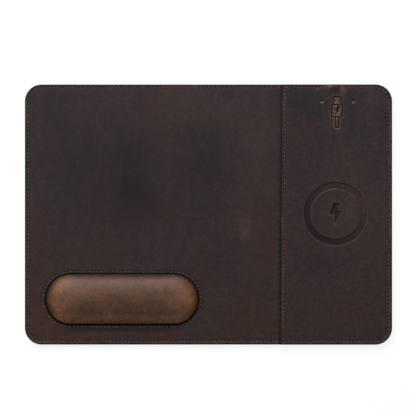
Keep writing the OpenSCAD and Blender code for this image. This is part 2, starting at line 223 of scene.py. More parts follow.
def mouse_outline(inset):
    """The mouse panel's outline: the mat's left end, running on under the charging panel."""
    r, edge = CORNER_R - inset, HALF_D - inset
    lap = SEAM_LAP - 0.1 - inset
    under = [[seam_x(-edge) + lap, -edge], [seam_x(edge) + lap, edge]]
    return np.concatenate([corner(-1, 1, r, 90), corner(-1, -1, r, 180), under])


def stadium(r):
    """An outline at a distance r round the wrist rest's middle line."""
    return np.concatenate([arc(REST[0] + REST_HALF, REST[1], r, -90, 90),
                           arc(REST[0] - REST_HALF, REST[1], r, 90, 270)])


def circle(centre, r, step=0.9):
    return arc(centre[0], centre[1], r, 0, 360, step)[:-1]


def grown(corners, by):
    """A polygon with each side moved out by a distance."""
    corners = np.array(corners, float)
    before, after = np.roll(corners, 1, 0), np.roll(corners, -1, 0)
    into, out = corners - before, after - corners
    into /= np.linalg.norm(into, axis=1)[:, None]
    out /= np.linalg.norm(out, axis=1)[:, None]
    turn = 1 if np.cross(corners, after).sum() > 0 else -1
    n1 = turn * np.stack([into[:, 1], -into[:, 0]], 1)
    n2 = turn * np.stack([out[:, 1], -out[:, 0]], 1)
    return corners + by * (n1 + n2) / (1 + (n1 * n2).sum(1))[:, None]


def box_outline(x, y, width, length):
    """A rectangle's corners, from its middle and its size."""
    return [x, y] + np.array([[-1, -1], [1, -1], [1, 1], [-1, 1]]) * [width / 2, length / 2]


def divided(points, step, closed=True):
    """The same line with points at most a step apart."""
    points = np.array(points, float)
    ends = np.roll(points, -1, 0) if closed else points[1:]
    out = []
    for a, b in zip(points, ends):
        n = max(1, math.ceil(np.linalg.norm(b - a) / step))
        out += [a + (b - a) * i / n for i in range(n)]
    if not closed:
        out.append(points[-1])
    return np.array(out)


# ---- stitch rows


def route_of(name):
    """The line that a row of stitches follows, open, as the CAD lays it."""
    r, row = CORNER_R - STITCH_INSET, HALF_D - STITCH_INSET
    if name == "mouse":
        return np.concatenate([[[seam_x(row) - 1, row]], corner(-1, 1, r, 90), corner(-1, -1, r, 180),
                               [[seam_x(-row) - 1, -row]]])
    if name == "charge":
        front = [[seam_x(-row) + SEAM_ROW, -row]]
        rear = [[seam_x(row) + SEAM_ROW, row]]
        return np.concatenate([front, rear, corner(1, 1, r, 90, -90), corner(1, -1, r, 0, -90), front])
    ring = stadium(OPENING_R + REST_STITCH_GAP)
    return np.concatenate([ring, ring[:1]])


def stitch_spots(route):
    """Middle and heading of each stitch along a route; none are sewn over the port."""
    steps = np.diff(route, axis=0)
    lengths = np.hypot(*steps.T)
    reach = np.concatenate([[0], np.cumsum(lengths)])
    count = round(reach[-1] / STITCH_PITCH)
    spots = []
    for k in range(count):
        s = (k + 0.5) * reach[-1] / count
        i = min(np.searchsorted(reach, s) - 1, len(steps) - 1)
        spot = route[i] + steps[i] * (s - reach[i]) / lengths[i]
        if spot[1] > CASE_REAR and abs(spot[0] - PORT_X) < NECK_W / 2 + STITCH_PITCH / 2:
            continue
        spots.append((spot, steps[i] / lengths[i]))
    return spots


ROUTES = {name: route_of(name) for name in ("mouse", "charge", "rest")}
SPOTS = {name: stitch_spots(route) for name, route in ROUTES.items()}


def offset_route(route, by, closed):
    """A copy of a route moved sideways."""
    if closed:
        return grown(route[:-1], by)
    ahead = np.gradient(route, axis=0)
    ahead /= np.linalg.norm(ahead, axis=1)[:, None]
    return route + by * np.stack([ahead[:, 1], -ahead[:, 0]], 1)


def d_route(p, route):
    """Distance from a line of points."""
    best = np.full(len(p), 1e9)
    for a, b in zip(route[:-1], route[1:]):
        edge = b - a
        if edge @ edge > 1e-12:
            t = np.clip(((p - a) @ edge) / (edge @ edge), 0, 1)
            best = np.minimum(best, np.hypot(*(p - a - t[:, None] * edge).T))
    return best


def d_spots(p, spots):
    """Distance from the nearest needle hole of a row."""
    tree = KDTree(2 * len(spots))
    for i, (spot, heading) in enumerate(spots):
        for k, side in enumerate((-1, 1)):
            hole = spot + side * STITCH_PITCH / 2 * heading
            tree.insert((hole[0], hole[1], 0), 2 * i + k)
    tree.balance()
    return np.array([tree.find((x, y, 0))[2] for x, y in p])


def d_holes(p, name, line):
    """Distance from a row's needle holes, where the distance from its line is small."""
    return where_near(p, line < ROW_REACH, lambda q: d_spots(q, SPOTS[name]))


# ---- heights and marks


def swell(p, size, seed):
    """Smooth noise from about -1 to 1, with features of a size in mm."""
    return np.array([noise.noise(Vector((x / size, y / size, seed))) for x, y in p])


def rounded_edge(inward, r):
    """How far a rounded edge drops at a distance inward from the outline."""
    t = np.clip(1 - inward / r, 0, 0.985)
    return r * (1 - np.sqrt(1 - t * t))


def edge_shape(inward):
    """A rounded edge with a slight swelling behind it."""
    return 0.12 * hump(inward, 1.7, 0.8) - rounded_edge(inward, 0.75)


def sewn_dip(p, name):
    """The channel that a row of stitches pulls into leather, with deeper needle holes."""
    line = d_route(p, ROUTES[name])
    return -0.16 * hump(line, 0, 0.75) - 0.42 * hump(d_holes(p, name, line), 0, 0.6)


def needle_hole_shade(p, name):
    """Painted shade: how dark the needle holes of a row are drawn."""
    line = d_route(p, ROUTES[name])
    return 0.8 * hump(d_holes(p, name, line), 0, 0.62)


def port_bulge(p):
    """How much the leather is lifted over the charging port, 0 to 1."""
    across = 1 - ramp(NECK_W / 2 - 2.5, NECK_W / 2 + 2, np.abs(p[:, 0] - PORT_X))
    return across * ramp(HALF_D - 9, HALF_D - 3, p[:, 1])


def d_bolt(p):
    return d_polygon(p, np.array(BOLT) + COIL)


def turned(points, angle):
    """Points turned about the origin."""
    c, s = math.cos(angle), math.sin(angle)
    return np.array(points) @ np.array([[c, s], [-s, c]])


SLIM = np.array([0.8, 1.0])
SMALL_BOLT = turned(BOLT * SLIM, ICON_BOLT_TURN) * ICON_BOLT + [ICON_X, GRIP[0] + GRIP[2] / 2]
CONTACT_MARKS = [box_outline(ICON_X + x, HEAD[0] + HEAD[2] / 2, 1.5, 1.5) for x in (-1.9, 1.9)]


def d_icon(p):
    """Distance from the engraved lines and marks of the plug picture, negative inside them."""
    lines = np.minimum.reduce([d_frame(p, *shape) for shape in (STEM, GRIP, HEAD)]) - ICON_LINE / 2 - 0.08
    marks = [d_polygon(p, mark) for mark in CONTACT_MARKS]
    return np.minimum.reduce([lines, d_polygon(p, SMALL_BOLT), *marks])


def in_icon(p):
    """Distance from the plug picture's outer outline, negative inside."""
    outlines = [d_polygon(p, box_outline(ICON_X, y + length / 2, width, length))
                for y, width, length in (STEM, GRIP, HEAD)]
    return np.minimum.reduce(outlines)


def near_icon(p):
    return (np.abs(p[:, 0] - ICON_X) < 10) & (np.abs(p[:, 1] - GRIP[0] - GRIP[2] / 2) < 20)


def radius_of(p):
    """Distance from the coil's middle."""
    return np.hypot(*(p - COIL).T)


def d_ring(radius):
    """Distance from the embossed ring's groove, negative inside it."""
    return np.abs(radius - (RING_OUTER_R + RING_INNER_R) / 2) - (RING_OUTER_R - RING_INNER_R) / 2


def charge_height(p):
    """Height of the charging panel's leather above its bottom face."""
    z = CHARGE_TOP - CHARGE_BOTTOM + edge_shape(np.minimum(-d_mat(p), d_seam(p)))
    z += 0.07 * swell(p, 46, 3.1) + 0.02 * swell(p, 9, 8.4)
    radius = radius_of(p)
    ring = d_ring(radius)
    z += 0.09 * hump(ring, 0.7, 0.7)
    for groove in (ring, where_near(p, radius < BOLT_REACH, d_bolt)):
        z -= EMBOSS_DEPTH * (1 - ramp(-0.4, 0.1, groove))
    z -= ICON_DEPTH * (1 - ramp(-0.3, 0.1, where_near(p, near_icon(p), d_icon)))
    for x in LIGHTS_X:
        hole = np.hypot(p[:, 0] - x, p[:, 1] - LIGHTS_Y) - LIGHT_HOLE_R
        z -= 0.25 * (1 - ramp(0, 0.8, hole))
    bulge = port_bulge(p)
    return z + 0.75 * bulge + sewn_dip(p, "charge") * (1 - bulge)


def mouse_height(p):
    """Height of the mouse panel's leather above its bottom face."""
    z = MOUSE_TOP - MOUSE_BOTTOM + edge_shape(-d_mat(p))
    z += (0.09 * swell(p, 60, 1.7) + 0.02 * swell(p, 9, 5.2)) * (1 - ramp(-9, -3, d_seam(p)))
    opening = d_rest(p) - OPENING_R
    z += 0.1 * (1 - ramp(0.4, 9, opening))
    z -= rounded_edge(opening, 0.9)
    return z + sewn_dip(p, "mouse") + sewn_dip(p, "rest")


def base_height(p):
    """Height of the underside's suede above its upper face, with channels for the lower threads."""
    z = BASE_HIGH[2] - BASE_LOW[2] - rounded_edge(-d_mat(p), 0.3)
    for name in ROUTES:
        line = d_route(p, ROUTES[name])
        z -= 0.62 * (1 - ramp(0.25, 0.8, line))
    return z


def patches(p, table, size, seed):
    """Sum of soft round patches, given as x, y, half width, half length and share, broken up by noise."""
    total = np.zeros(len(p))
    for x, y, wide, long, share in table:
        away = np.hypot((p[:, 0] - x) / wide, (p[:, 1] - y) / long)
        total += share * hump(away, 0, 1)
    return total * (0.8 + 0.7 * swell(p, size, seed))


# Where the waxed surface is rubbed paler, and one painted highlight along the seam's edge
MOUSE_RUBS = [(37, -7, 2.6, 9, 0.05), (34.5, -17, 3.2, 7, 0.1), (32, -9, 2.0, 12, 0.04),
              (48, -10, 9, 5, 0.03), (63, 121, 7, 1.6, 0.1), (42, 121, 9, 1.4, 0.06),
              (-118, -118, 20, 5, 0.02)]
CHARGE_RUBS = [(PORT_X - 8, 122.2, 4.2, 1.5, 0.4), (PORT_X - 17, 119.8, 3.2, 1.3, 0.3),
               (PORT_X + 7, 119.8, 2.8, 2.0, 0.45), (PORT_X + 5, 115, 3.0, 5, 0.09),
               # The last entry is a painted highlight: a thin light line along the seam's lit edge.
               (COIL[0] + 26, COIL[1] + 12, 2.2, 8, 0.1), (SEAM_REAR - 0.1, -6, 0.9, 8, 0.2)]
# Where it is a lighter or a darker brown
TONES = [(-86, 33, 48, 48, -0.24), (-56, 8, 46, 26, -0.12), (138, 34, 22, 66, 0.1), (-2, 44, 22, 44, -0.14),
         (-8, 106, 40, 16, 0.24), (46, 76, 20, 48, 0.14), (87, 100, 14, 24, -0.12), (158, 40, 20, 90, 0.08),
         (168, -2, 12, 30, 0.14), (36, -12, 14, 24, 0.1), (-160, -96, 22, 40, 0.16), (92, -42, 15, 22, -0.08),
         (12, -42, 20, 24, -0.1), (121, 0, 25, 25, 0.08), (-40, 100, 8, 40, 0.07)]
# Where it is a warmer or a cooler brown
WARMTHS = [(-86, 35, 52, 50, -0.3), (-2, 42, 26, 45, -0.28), (-148, 82, 30, 46, -0.34),
           (12, -42, 22, 26, -0.24), (118, 88, 50, 34, -0.34), (160, 56, 18, 30, -0.3),
           (100, -40, 20, 24, -0.26), (44, 76, 24, 48, 0.1), (33, -104, 42, 26, 0.34),
           (140, -98, 36, 24, 0.26), (-80, -118, 90, 10, 0.34), (-168, -60, 12, 60, 0.16),
           (36, -12, 22, 22, 0.16), (88, 100, 16, 30, -0.3), (-158, -100, 18, 20, 0.24),
           (54, -2, 12, 30, 0.2)]
CUSHION_TONES = [(-130, -71, 16, 8, 0.07), (-60, -82, 20, 11, -0.07), (-84, -80, 26, 9, -0.03)]


def marks_of(p, burnt, rubbed):
    """What the leather's material reads at each point: darkening where it is pressed together with painted
    shade, rubbed wear together with painted highlights, tone together with painted shade and highlight, and
    warmth.
    """
    warmth = 0.46 + 0.14 * ramp(60, -124, p[:, 1]) + patches(p, WARMTHS, 26, 4.6) + 0.1 * swell(p, 22, 5.5)
    tone = 0.5 + 0.5 * patches(p, TONES, 30, 6.1)
    named = {"burnt": burnt, "rubbed": rubbed, "tone": tone, "warmth": warmth}
    return {name: np.clip(values, 0, 1) for name, values in named.items()}


def facing(p, degrees):
    """From -1 to 1: how far a point lies towards a direction from the coil's middle."""
    angle = np.arctan2(p[:, 1] - COIL[1], p[:, 0] - COIL[0])
    return np.cos(angle - math.radians(degrees))


def ring_edge_highlight(p, radius):
    """Painted highlight on the ring's two upper corners where they face the light: the inner one to the rear,
    the outer one to the front.
    """
    inner = (0.5 + 0.5 * facing(p, 100)) * hump(radius, RING_INNER_R - 0.1, 0.3)
    outer = (0.5 + 0.5 * facing(p, 260)) * hump(radius, RING_OUTER_R + 0.1, 0.3)
    return 0.22 * inner + 0.17 * outer


def charge_marks(p):
    """Marks of the charging panel: darkened engraving, painted shade in the needle holes and the ring's
    groove, painted highlights on the ring's edges and in the light holes, rubbed edges and worn patches.
    """
    inward = np.minimum(-d_mat(p), d_seam(p))
    radius = radius_of(p)
    near = near_icon(p)
    inner = where_near(p, near, in_icon)
    bolt = where_near(p, radius < BOLT_REACH, d_bolt)
    burnt = 1 - ramp(0.0, 0.14, where_near(p, near, d_icon))
    # Painted shade in the needle holes, none where the leather lifts over the port.
    burnt += needle_hole_shade(p, "charge") * (1 - port_bulge(p))
    # Painted shade in the ring's groove, heaviest on its lower-left side, on top of the darkening where the
    # groove is pressed.
    burnt += (0.44 + 0.34 * facing(p, 215)) * (1 - ramp(-0.5, -0.1, d_ring(radius)))
    burnt += 0.72 * (1 - ramp(-0.4, 0.0, bolt))
    rubbed = (1 - ramp(-0.6, -0.4, inner)) * (0.26 + 0.22 * (p[:, 1] < GRIP[0]) + 0.14 * swell(p, 2.6, 1.1))
    rubbed += hump(inner, 0.5, 0.34) * (0.16 + 0.36 * (1 - ramp(84, 104, p[:, 1])))
    rubbed += 0.2 * hump(bolt, 0.15, 0.25) + ring_edge_highlight(p, radius)
    # Painted highlight: tan on the lower wall of each light hole, where the light falls into it.
    for x in LIGHTS_X:
        away = np.hypot(p[:, 0] - x, p[:, 1] - LIGHTS_Y + 0.7) - LIGHT_HOLE_R
        rubbed += hump(away, 0, 0.4) * (1 - ramp(-0.9, 0.0, p[:, 1] - LIGHTS_Y))
    rubbed += 0.12 * hump(inward, 1.9, 0.6) * ramp(0, 0.6, swell(p, 22, 6.6) + 0.3)
    rubbed += patches(p, CHARGE_RUBS, 3.2, 2.9)
    return marks_of(p, burnt, rubbed)


def mouse_marks(p):
    """Marks of the mouse panel: painted shade where it meets the seam's step and the wrist rest's gap and in
    the needle holes, a painted shadow of the cushion in front of it, and worn patches.
    """
    opening = d_rest(p) - OPENING_R
    rubbed = 0.08 * hump(opening, 1.4, 0.8) * ramp(-0.1, 0.5, swell(p, 14, 4.4))
    rubbed += 0.1 * hump(-d_mat(p), 1.9, 0.6) * ramp(0, 0.6, swell(p, 26, 7.7) + 0.2)
    rubbed += patches(p, MOUSE_RUBS, 4.5, 9.1)
    # Painted shade by the wrist rest's gap and beside the charging panel's raised edge at the seam.
    burnt = 0.45 * (1 - ramp(0.1, 0.8, opening)) + ramp(-2.2, -0.7, d_seam(p))
    # Painted shade in the needle holes of both rows.
    burnt += needle_hole_shade(p, "mouse") + needle_hole_shade(p, "rest")
    marks = marks_of(p, burnt, rubbed)
    # Painted shadow of the cushion: darker round the opening, most in front of it.
    front = ramp(-0.2, 0.7, (REST[1] - p[:, 1]) / OPENING_R)
    front *= 1 - ramp(REST_HALF - 8, REST_HALF + 12, np.abs(p[:, 0] - REST[0]))
    marks["tone"] -= (0.05 + 0.34 * front) * (1 - ramp(1, 7.5, opening))
    return marks


# ---- mesh building


def make_object(name, points, faces, materials, material_of=None):
    """A mesh object from points in mm. material_of gives each face's slot number."""
    mesh = bpy.data.meshes.new(name)
    mesh.from_pydata((np.asarray(points, float) * MM).tolist(), [], faces)
    for material in materials:
        mesh.materials.append(material)
    if material_of is not None:
        mesh.polygons.foreach_set("material_index", np.asarray(material_of, np.int32))
    mesh.polygons.foreach_set("use_smooth", [True] * len(mesh.polygons))
    mesh.validate()
    mesh.update()
    piece = bpy.data.objects.new(name, mesh)
    bpy.context.scene.collection.objects.link(piece)
    return piece


def tube_faces(rings, sides):
    """A tube's faces from ring to ring, and its two ends."""
    faces = []
    for low in range(0, (rings - 1) * sides, sides):
        for j in range(sides):
            after = (j + 1) % sides
            faces.append([low + j, low + after, low + sides + after, low + sides + j])
    faces.append(list(range(sides))[::-1])
    faces.append([(rings - 1) * sides + j for j in range(sides)])
    return faces


def stand_for(piece, node):
    """The piece rides on the mat's one body and takes the place of a CAD node, which is hidden."""
    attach(piece, "root")
    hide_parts(node)


def write_marks(mesh, marks):
    """Stores each mark as a value on the mesh's points."""
    for name, values in marks.items():
        attribute = mesh.attributes.get(name) or mesh.attributes.new(name, "FLOAT", "POINT")
        attribute.data.foreach_set("value", np.asarray(values, np.float32))


def triangulated(loops, loose, keep):
    """Triangles over the loops' points and the loose points, where keep(centroids) holds."""
    points, edges = [], []
    for loop, closed in loops:
        first = len(points)
        points += [tuple(p) for p in loop]
        edges += [(first + i, first + i + 1) for i in range(len(loop) - 1)]
        if closed:
            edges.append((len(points) - 1, first))
    points += [tuple(p) for p in loose]
    out, _, faces, _, _, _ = delaunay_2d_cdt([Vector(p) for p in points], edges, [], 0, 1e-4, False)
    xy = np.array([(v.x, v.y) for v in out])
    faces = np.array(faces)
    faces = faces[keep(xy[faces].mean(1))]
    a, b, c = xy[faces[:, 0]], xy[faces[:, 1]], xy[faces[:, 2]]
    area = np.cross(b - a, c - a)
    faces = faces[np.abs(area) > 1e-7]
    area = area[np.abs(area) > 1e-7]
    faces[area < 0] = faces[area < 0][:, ::-1]
    used = np.unique(faces)
    renumber = np.full(len(xy), -1)
    renumber[used] = np.arange(len(used))
    return xy[used], renumber[faces]


def grid_inside(keep, loops, spacing, clear):
    """Loose points on a staggered grid, kept clear of the loops."""
    tree = KDTree(sum(len(loop) for loop, _ in loops))
    for i, p in enumerate(p for loop, _ in loops for p in loop):
        tree.insert((p[0], p[1], 0), i)
    tree.balance()
    rows = np.arange(-HALF_D, HALF_D, spacing * 0.87)
    found = []
    for k, y in enumerate(rows):
        xs = np.arange(-HALF_W + (k % 2) * spacing / 2, HALF_W, spacing)
        found.append(np.stack([xs, np.full(len(xs), y)], 1))
    found = np.concatenate(found)
    found = found[keep(found)]
    return np.array([p for p in found if tree.find((p[0], p[1], 0))[2] > clear])


def edge_chains(faces):
    """Directed boundary edges of a triangulation, as arrays of start and end."""
    directed = np.concatenate([faces[:, [0, 1]], faces[:, [1, 2]], faces[:, [2, 0]]])
    seen = {(a, b) for a, b in directed.tolist()}
    rim = [(a, b) for a, b in seen if (b, a) not in seen]
    return sorted(rim)


def layer(name, loops, keep, height, bottom_z, materials, up=1, spacing=3.2, clear=0.9, wall=(0.5,),
          face_slot=None, wall_slot=None, marks=None):
    """A sheet with a shaped face, walls all round and a plain back.

    up is 1 when the shaped face is the upper one and -1 when it is the lower one.
    """
    xy, faces = triangulated(loops, grid_inside(keep, loops, spacing, clear), keep)
    rim = edge_chains(faces)
    z = bottom_z + up * height(xy)
    points = [np.column_stack([xy, z])]
    count = len(xy)
    rim_points = sorted({a for a, _ in rim})
    place = {p: i for i, p in enumerate(rim_points)}
    outward = np.zeros((len(rim_points), 2))
    for a, b in rim:
        step = xy[b] - xy[a]
        normal = np.array([step[1], -step[0]]) / max(np.linalg.norm(step), 1e-9)
        outward[place[a]] += normal
        outward[place[b]] += normal
    outward /= np.maximum(np.linalg.norm(outward, axis=1), 1e-9)[:, None]
    top = z[rim_points]
    rings = [(0.03, share) for share in wall] + [(0.0, 0.1), (-0.12, 0.0)]
    for push, share in rings:
        ring_z = bottom_z + (top - bottom_z) * share
        points.append(np.column_stack([xy[rim_points] + push * outward, ring_z]))
    all_faces = faces.tolist()
    levels = [rim_points] + [[count + k * len(rim_points) + i for i in range(len(rim_points))]
                             for k in range(len(rings))]
    walls = []
    for upper, lower in zip(levels[:-1], levels[1:]):
        walls += [[upper[place[b]], upper[place[a]], lower[place[a]], lower[place[b]]] for a, b in rim]
    last = levels[-1]
    back_xy = points[-1][:, :2]
    order = [Vector(p) for p in back_xy]
    made = delaunay_2d_cdt(order, [(place[a], place[b]) for a, b in rim], [], 0, 1e-4, True)
    back = []
    for face in made[2]:
        ids = [made[3][i][0] for i in face if made[3][i]]
        if len(ids) == 3:
            back.append(ids)
    back = np.array(back)
    back = back[keep(back_xy[back].mean(1))]
    a, b, c = (back_xy[back[:, k]] for k in range(3))
    flip = np.cross(b - a, c - a) > 0
    back[flip] = back[flip][:, ::-1]
    all_faces += walls + [[last[i] for i in face] for face in back.tolist()]
    slots = [face_slot(xy[faces].mean(1)) if face_slot else np.zeros(len(faces), int)]
    wall_xy = np.array([(xy[a] + xy[b]) / 2 for a, b in rim])
    one = wall_slot(wall_xy) if wall_slot else np.zeros(len(rim), int)
    slots += [one] * (len(levels) - 1) + [np.zeros(len(back), int)]
    if up < 0:
        all_faces = [face[::-1] for face in all_faces]
    piece = make_object(name, np.concatenate(points), all_faces, materials, np.concatenate(slots))
    if marks is not None:
        write_marks(piece.data, marks(np.concatenate(points)[:, :2]))
    return piece


def outline_loops(outline, insets, step):
    """The same outline at several insets; the outermost one is the piece's edge."""
    return [(divided(outline(inset), step), True) for inset in insets]


def row_loops(name, closed):
    """Lines along a stitch row that carry the shape of its channel."""
    route = ROUTES[name]
    loops = [(divided(route[:-1] if closed else route, 0.62, closed), closed)]
    for by in (-1.2, -0.55, 0.55, 1.2):
        loops.append((divided(offset_route(route, by, closed), 0.9, closed), closed))
    return loops


# ---- materials


class Shader:
    """A material's node tree, with short ways to add and link nodes."""

    def __init__(self, name):
        self.material = bpy.data.materials.new(name)
        self.material.use_nodes = True
        self.tree = self.material.node_tree
        self.surface = self.tree.nodes["Principled BSDF"]
        coordinates = self.tree.nodes.new("ShaderNodeTexCoord")
        self.place = coordinates.outputs["Object"]

    def add(self, kind, out=0, **inputs):
        """Adds a node. A name that starts with _ is a setting, and i0, i1 and so on are numbered inputs."""
        node = self.tree.nodes.new(kind)
        for key in [key for key in inputs if key[0] == "_"]:
            setattr(node, key[1:], inputs.pop(key))
        for key, value in inputs.items():
            numbered = key[0] == "i" and key[1:].isdigit()
            self.put(node.inputs[int(key[1:]) if numbered else key.replace("__", " ")], value)
        return node.outputs[out]

    def put(self, socket, value):
        if isinstance(value, bpy.types.NodeSocket):
            self.tree.links.new(value, socket)
        else:
            socket.default_value = value

    def noise(self, size, detail=4.0, rough=0.55, seed=0.0, distort=0.0, stretch=None):
        """Noise with features of a size in mm."""
        place = self.place
        if stretch is not None or seed:
            place = self.add("ShaderNodeMapping", Vector=self.place, Location=(seed, seed * 0.7, seed * 1.3),
                             Scale=stretch or (1, 1, 1))
        return self.add("ShaderNodeTexNoise", Vector=place, Scale=1 / (size * MM), Detail=detail,
                        Roughness=rough, Distortion=distort)

    def cells(self, size):
        return self.add("ShaderNodeTexVoronoi", "Distance", Vector=self.place, Scale=1 / (size * MM),
                        _feature="F1")

    def span(self, value, low, high, to_low=0.0, to_high=1.0):
        """A value mapped from one range to another, and held inside it."""
        return self.add("ShaderNodeMapRange", i0=value, i1=low, i2=high, i3=to_low, i4=to_high,
                        _interpolation_type="SMOOTHSTEP")

    def math(self, operation, a, b):
        return self.add("ShaderNodeMath", _operation=operation, i0=a, i1=b)

    def mix(self, share, a, b, blend="MIX"):
        node = self.tree.nodes.new("ShaderNodeMix")
        node.data_type = "RGBA"
        node.blend_type = blend
        self.put(node.inputs["Factor"], share)
        self.put(node.inputs["A"], a if isinstance(a, bpy.types.NodeSocket) else (*a, 1))
        self.put(node.inputs["B"], b if isinstance(b, bpy.types.NodeSocket) else (*b, 1))
        return node.outputs["Result"]

    def shaded(self, colour, value):
        """A colour made lighter or darker by one value."""
        grey = self.add("ShaderNodeCombineColor", Red=value, Green=value, Blue=value)
        return self.mix(1.0, colour, grey, "MULTIPLY")

    def attribute(self, name):
        return self.add("ShaderNodeAttribute", "Fac", _attribute_name=name)

    def bump(self, height, depth, strength=1.0, below=None):
        """A bump whose full height is a depth in mm."""
        inputs = {"Height": height, "Distance": depth * MM, "Strength": strength}
        if below is not None:
            inputs["Normal"] = below
        return self.add("ShaderNodeBump", **inputs)

    def finish(self, colour, roughness, normal=None, gloss=0.5, **fixed):
        """Sets the shader's inputs. A colour is a socket or three numbers; gloss is the specular level."""
        inputs = self.surface.inputs
        self.put(inputs["Base Color"], colour if isinstance(colour, bpy.types.NodeSocket) else (*colour, 1))
        self.put(inputs["Roughness"], roughness)
        if normal is not None:
            self.put(inputs["Normal"], normal)
        inputs["Specular IOR Level"].default_value = gloss
        for key, value in fixed.items():
            inputs[key.replace("__", " ")].default_value = value
        return self.material


def leather_bump(s, grain, depth):
    """Pebbled grain with fine creases and pores."""
    pebbles = s.cells(grain)
    creases = s.noise(grain * 5, 6, 0.6, seed=0.31, distort=0.6)
    pores = s.noise(grain * 0.45, 2, 0.5, seed=0.77)
    fine = s.bump(pores, depth * 0.35, 0.5)
    grained = s.bump(pebbles, depth, 0.55, fine)
    return s.bump(creases, depth * 2.2, 0.45, grained)


def pull_up_leather(name, cool, plain, warm, tan, roughness, ior_level, grain=0.9, drifting=1.0,
                    brushed=0.28):
    """Waxed leather whose brown drifts from cool to warm, brushed in streaks and rubbed to tan in places,
    with painted highlights on lit edges, and darkened near black where it is pressed and with painted shade
    in holes, gaps and beside steps.
    """
    s = Shader(name)
    clouds = s.noise(38, 6, 0.65, seed=0.13, distort=0.5)
    streaks = s.noise(11, 5, 0.6, seed=0.35, distort=0.8, stretch=(1, brushed, 1))
    mottle = s.noise(5, 5, 0.65, seed=0.91)
    speckle = s.noise(0.9, 3, 0.6, seed=0.22)
    blotches = s.noise(2.4, 3, 0.6, seed=0.57)
    drift = s.math("ADD", s.span(clouds, 0.3, 0.7, -0.18 * drifting, 0.18 * drifting),
                   s.span(streaks, 0.3, 0.7, -0.08 * drifting, 0.08 * drifting))
    warmth = s.math("ADD", s.attribute("warmth"), drift)
    colour = s.mix(s.span(warmth, 0.0, 0.5), cool, plain)
    colour = s.mix(s.span(warmth, 0.5, 1.0), colour, warm)
    shade = s.math("ADD", s.span(mottle, 0.25, 0.75, 0.82, 1.18), s.span(speckle, 0.2, 0.8, -0.28, 0.28))
    shade = s.math("ADD", shade, s.span(blotches, 0.3, 0.7, -0.14, 0.14))
    shade = s.math("ADD", shade, s.span(streaks, 0.25, 0.75, -0.06, 0.06))
    shade = s.math("MULTIPLY", shade, s.span(s.attribute("tone"), 0.2, 0.8, 0.4, 1.6))
    colour = s.shaded(colour, shade)
    hairs = s.noise(3.2, 3, 0.5, seed=0.43, stretch=(0.12, 1, 1))
    crossing = s.noise(2.6, 3, 0.5, seed=0.66, stretch=(1, 0.1, 1))
    scratches = s.math("MULTIPLY", s.span(s.math("MAXIMUM", hairs, crossing), 0.66, 0.74), 0.022)
    uneven = s.span(s.math("ADD", mottle, streaks), 0.75, 1.2, 0.4, 1.3)
    # Tan where the leather is rubbed, together with painted highlights on lit edges and hole walls.
    wear_and_highlight = s.math("MULTIPLY", s.attribute("rubbed"), uneven)
    colour = s.mix(s.math("ADD", scratches, wear_and_highlight), colour, tan)
    # Near black where the leather is pressed, and painted shade in needle holes, gaps, at the cushion's foot
    # and beside the seam's step.
    colour = s.mix(s.attribute("burnt"), colour, (0.0028, 0.0022, 0.0020))
    rough = s.math("ADD", s.span(mottle, 0.2, 0.8, roughness - 0.06, roughness + 0.08),
                   s.span(clouds, 0.3, 0.7, -0.04, 0.05))
    return s.finish(colour, rough, leather_bump(s, grain, 0.05), gloss=ior_level)


def edge_paint():
    """Black edge paint over cut leather and board, a little uneven."""
    s = Shader("edge_paint")
    brushed = s.noise(1.4, 5, 0.6, stretch=(1, 1, 3))
    blots = s.noise(9, 4, 0.6, seed=0.4)
    colour = s.mix(s.span(blots, 0.4, 0.7), (0.003, 0.0028, 0.0030), (0.007, 0.0055, 0.0050))
    return s.finish(colour, s.span(brushed, 0.3, 0.7, 0.6, 0.75), s.bump(brushed, 0.09, 0.7),
                    gloss=0.07)


def thread(name, dark, light):
    """Bonded twisted thread: colour varies from stitch to stitch, with fine fibres."""
    s = Shader(name)
    between = s.noise(4.5, 2, 0.5, seed=0.2)
    fibres = s.noise(0.22, 3, 0.6, seed=0.5)
    colour = s.mix(s.span(between, 0.35, 0.65), dark, light)
    shade = s.span(fibres, 0.25, 0.75, 0.72, 1.2)
    colour = s.shaded(colour, shade)
    return s.finish(colour, s.span(fibres, 0.3, 0.7, 0.45, 0.65), s.bump(fibres, 0.05, 0.6),
                    gloss=0.4)


def suede():
    """Short-napped black suede."""
    s = Shader("suede_base")
    nap = s.noise(0.5, 4, 0.7)
    brushed = s.noise(22, 4, 0.6, seed=0.3, distort=1.0)
    colour = s.mix(s.span(brushed, 0.35, 0.65), (0.012, 0.011, 0.011), (0.024, 0.022, 0.021))
    shade = s.span(nap, 0.25, 0.75, 0.6, 1.4)
    colour = s.shaded(colour, shade)
    return s.finish(colour, s.span(nap, 0.2, 0.8, 0.85, 1.0), s.bump(nap, 0.12, 0.8),
                    gloss=0.1, Sheen__Weight=0.2)


def moulded(name, colour, roughness, pitch=0.35, depth=0.02, ior_level=0.4):
    """Moulded plastic, card or ceramic with a fine spark-eroded texture."""
    s = Shader(name)
    texture = s.noise(pitch, 3, 0.55)
    blots = s.noise(7, 3, 0.5, seed=0.6)
    lighter = tuple(min(1, c * 1.18 + 0.004) for c in colour)
    mixed = s.mix(s.span(blots, 0.35, 0.65), colour, lighter)
    return s.finish(mixed, s.span(texture, 0.3, 0.7, roughness - 0.06, roughness + 0.08),
                    s.bump(texture, depth, 0.7), gloss=ior_level)


def metal(name, colour, roughness, stretch=(1, 9, 9)):
    """Drawn or plated metal with fine lines."""
    s = Shader(name)
    lines = s.noise(0.6, 4, 0.6, stretch=stretch)
    darker = tuple(c * 0.82 for c in colour)
    mixed = s.mix(s.span(lines, 0.3, 0.7), colour, darker)
    return s.finish(mixed, s.span(lines, 0.3, 0.7, roughness, roughness + 0.14), s.bump(lines, 0.01, 0.5),
                    Metallic=1.0)


